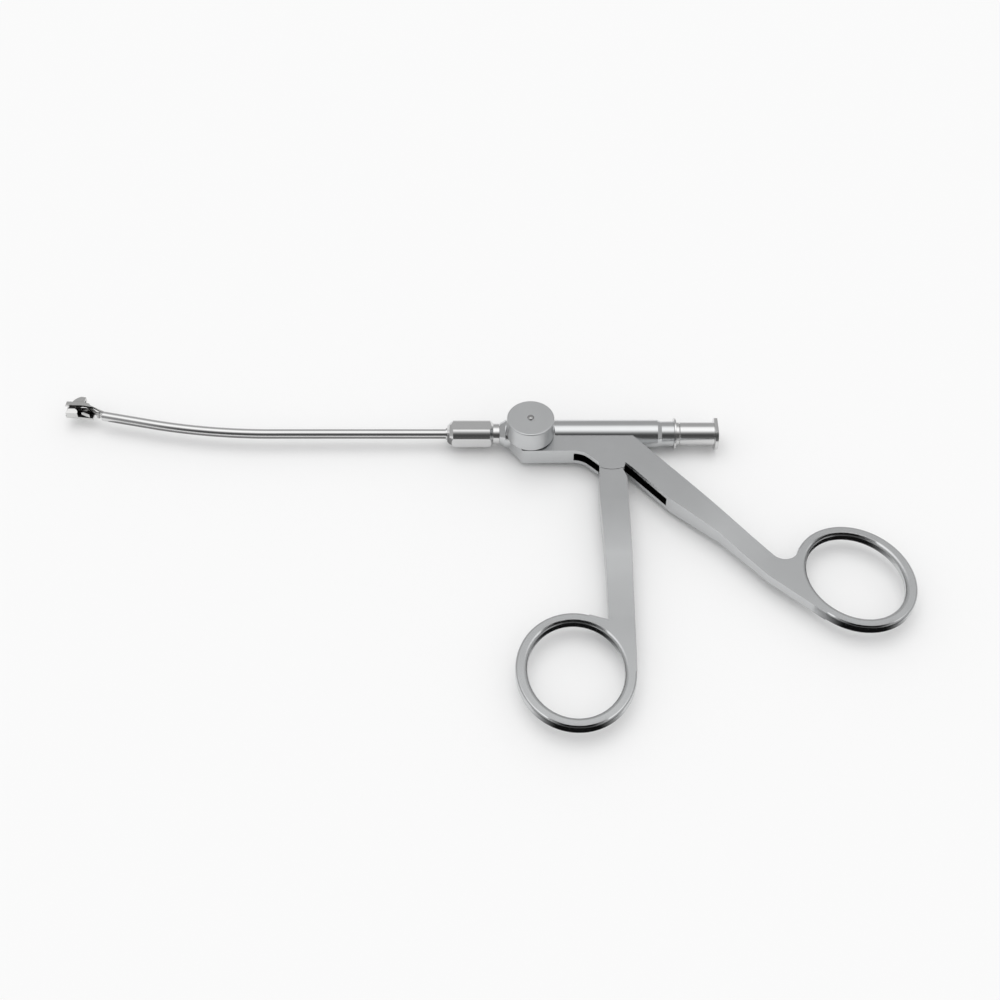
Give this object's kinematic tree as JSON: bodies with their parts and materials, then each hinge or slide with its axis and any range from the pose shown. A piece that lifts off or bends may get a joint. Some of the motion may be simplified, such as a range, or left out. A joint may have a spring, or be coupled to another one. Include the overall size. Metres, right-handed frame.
{
  "type": "micro punch forceps",
  "caption": "Slender hand instrument: finger lever and ring handle, turning shaft with a bent tip, and a small rocking punch jaw.",
  "frame": {"origin": "centre of the rinsing port's mouth, on the shaft's axis", "axes": "+X out of the port along the shaft's axis, so the tip lies at negative X; +Y away from the finger rings; +Z square to the handle plate on the lock knob's side"},
  "size_m": [0.198, 0.0934, 0.012],
  "materials": {
    "satin_steel": "fine satin",
    "bright_steel": "bright polish",
    "tip_steel": "semi-bright",
    "pin_steel": "ground",
    "drive_steel": "drawn",
    "seal_rubber": "matt black",
    "bush_plastic": "matt white"
  },
  "bodies": {
    "handle": {"handle_frame": "satin_steel", "lever_pivot_pin": "pin_steel", "rod_guide_bush": "bush_plastic", "port_washer": "bright_steel", "port_connector": "bright_steel"},
    "lever": {"finger_lever": "satin_steel"},
    "lock_spindle": {"lock_screw": "pin_steel"},
    "knob": {"lock_knob": "satin_steel"},
    "shaft": {"rotation_collar": "bright_steel", "spigot_seal": "seal_rubber", "rod_seal": "seal_rubber", "seal_gland": "drive_steel", "sheath_tube": "bright_steel", "jaw_yoke": "tip_steel", "jaw_pivot_pin": "pin_steel"},
    "rear_drive": {"rear_rod": "drive_steel", "rear_ferrule": "drive_steel", "drive_spool": "drive_steel", "spool_nut": "drive_steel"},
    "bend_drive": {"bend_rod": "drive_steel"},
    "front_drive": {"front_rod": "drive_steel", "front_ferrule": "drive_steel", "rod_end_pin": "pin_steel"},
    "link": {"drive_link": "tip_steel"},
    "jaw": {"punch_jaw": "tip_steel", "crank_pin": "pin_steel"}
  },
  "joints": [
    {"name": "lever_swing", "type": "hinge", "parent": "handle", "child": "lever", "pos_m": [-0.026, -0.0072, 0], "axis": [0, 0, 1], "range_deg": [-3, 17]},
    {"name": "screw_travel", "type": "slide", "parent": "handle", "child": "lock_spindle", "axis": [0, 0, 1], "range_m": [0, 0.0005]},
    {"name": "knob_turn", "type": "hinge", "parent": "lock_spindle", "child": "knob", "pos_m": [-0.04495, -0.00215, 0], "axis": [0, 0, 1], "range_deg": [0, 360]},
    {"name": "shaft_turn", "type": "hinge", "parent": "handle", "child": "shaft", "pos_m": [0, 0, 0], "axis": [1, 0, 0], "continuous": true},
    {"name": "rear_rod_slide", "type": "slide", "parent": "shaft", "child": "rear_drive", "axis": [-1, 0, 0], "range_m": [-0.0003, 0.0016]},
    {"name": "bend_rod_slide", "type": "hinge", "parent": "shaft", "child": "bend_drive", "pos_m": [-0.1074, 0.137, 0], "axis": [0, 0, 1], "range_deg": [-0.68, 0.13]},
    {"name": "front_rod_slide", "type": "slide", "parent": "shaft", "child": "front_drive", "axis": [-0.9763, 0.2164, 0], "range_m": [-0.0003, 0.0016]},
    {"name": "link_swing", "type": "hinge", "parent": "front_drive", "child": "link", "pos_m": [-0.15004, 0.00613, 0], "axis": [0, 0, 1], "range_deg": [-6.5, 1.5]},
    {"name": "jaw_swing", "type": "hinge", "parent": "shaft", "child": "jaw", "pos_m": [-0.15672, 0.00887, 0], "axis": [0, 0, 1], "range_deg": [-6, 31]}
  ],
  "couplings": [
    {"joint": "knob_turn", "follows": "screw_travel", "rad_per_m": 12566},
    {"joint": "rear_rod_slide", "follows": "lever_swing", "m_per_rad": 0.00538},
    {"joint": "bend_rod_slide", "follows": "lever_swing", "ratio": -0.03927},
    {"joint": "front_rod_slide", "follows": "lever_swing", "m_per_rad": 0.00538},
    {"joint": "link_swing", "follows": "lever_swing", "ratio": -0.36},
    {"joint": "jaw_swing", "follows": "lever_swing", "ratio": 1.8}
  ]
}
